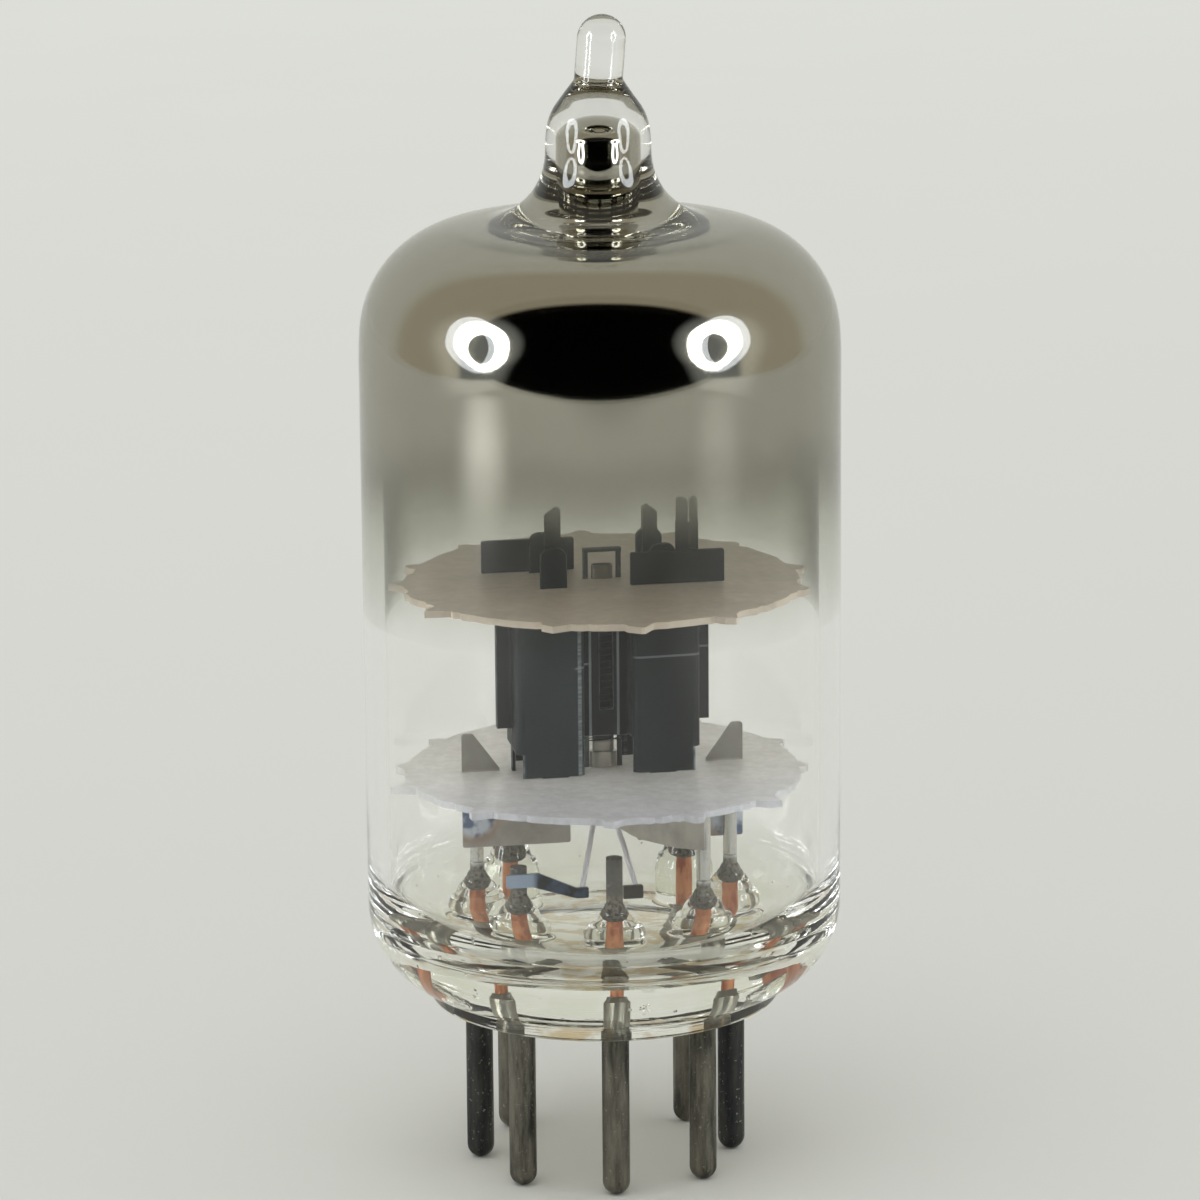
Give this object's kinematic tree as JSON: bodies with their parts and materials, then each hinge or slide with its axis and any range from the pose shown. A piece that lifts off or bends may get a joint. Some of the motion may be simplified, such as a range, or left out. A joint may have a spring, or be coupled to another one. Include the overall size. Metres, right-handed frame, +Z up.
{
  "type": "triode tube",
  "caption": "Miniature triode tube in a glass bulb with a pulled tip, getter film, mica spacers, dark sheet anode and round contact pins.",
  "frame": {"origin": "on the tube's axis in the plane of the pins' ends", "axes": "+Z up the tube's axis to the exhaust tip, -Y towards pin 4, +Y towards the wide gap between pins 1 and 7, +X towards pin 6"},
  "size_m": [0.0176, 0.0176, 0.0433],
  "materials": {
    "glass": "clear, with a faint green-grey tint",
    "getter_mirror": "silvery brown-grey mirror that fades out downwards",
    "pin_metal": "dull, tarnished grey-brown",
    "seal_wire": "copper-orange under glass",
    "lead_metal": "bright drawn wire with dull weld knots",
    "mica": "translucent beige mineral sheet",
    "anode_sheet": "matt carbon-black coating with worn edges",
    "grid_metal": "drawn wire, satin",
    "cathode_nickel": "satin nickel",
    "heater_coating": "matt white oxide coating",
    "strap_nickel": "satin nickel with blue and brown heat tints",
    "getter_metal": "heat-darkened strip"
  },
  "bodies": {
    "root": {"bulb": "glass", "button_stem": "glass", "getter_film": "getter_mirror", "pin_1": "pin_metal", "pin_2": "pin_metal", "pin_3": "pin_metal", "pin_4": "pin_metal", "pin_5": "pin_metal", "pin_6": "pin_metal", "pin_7": "pin_metal", "seal_wire_1": "seal_wire", "seal_wire_2": "seal_wire", "seal_wire_3": "seal_wire", "seal_wire_4": "seal_wire", "seal_wire_5": "seal_wire", "seal_wire_6": "seal_wire", "seal_wire_7": "seal_wire", "lead_1": "lead_metal", "lead_2": "lead_metal", "lead_3": "lead_metal", "lead_4": "lead_metal", "lead_5": "lead_metal", "lead_6": "lead_metal", "lead_7": "lead_metal", "lower_mica": "mica", "upper_mica": "mica", "anode_front": "anode_sheet", "anode_back": "anode_sheet", "grid_rod_left": "grid_metal", "grid_rod_right": "grid_metal", "grid_winding": "grid_metal", "grid_bridge": "grid_metal", "cathode_sleeve": "cathode_nickel", "cathode_collar": "cathode_nickel", "heater": "heater_coating", "heater_tab_3": "strap_nickel", "heater_tab_4": "strap_nickel", "grid_strap_left": "strap_nickel", "grid_strap_right": "strap_nickel", "cathode_strap": "strap_nickel", "anode_strap_left": "strap_nickel", "anode_strap_right": "strap_nickel", "getter_plate_left": "getter_metal", "getter_plate_right": "getter_metal", "getter_post_left": "getter_metal", "getter_post_right": "getter_metal", "getter_leaf": "getter_metal"}
  },
  "joints": []
}
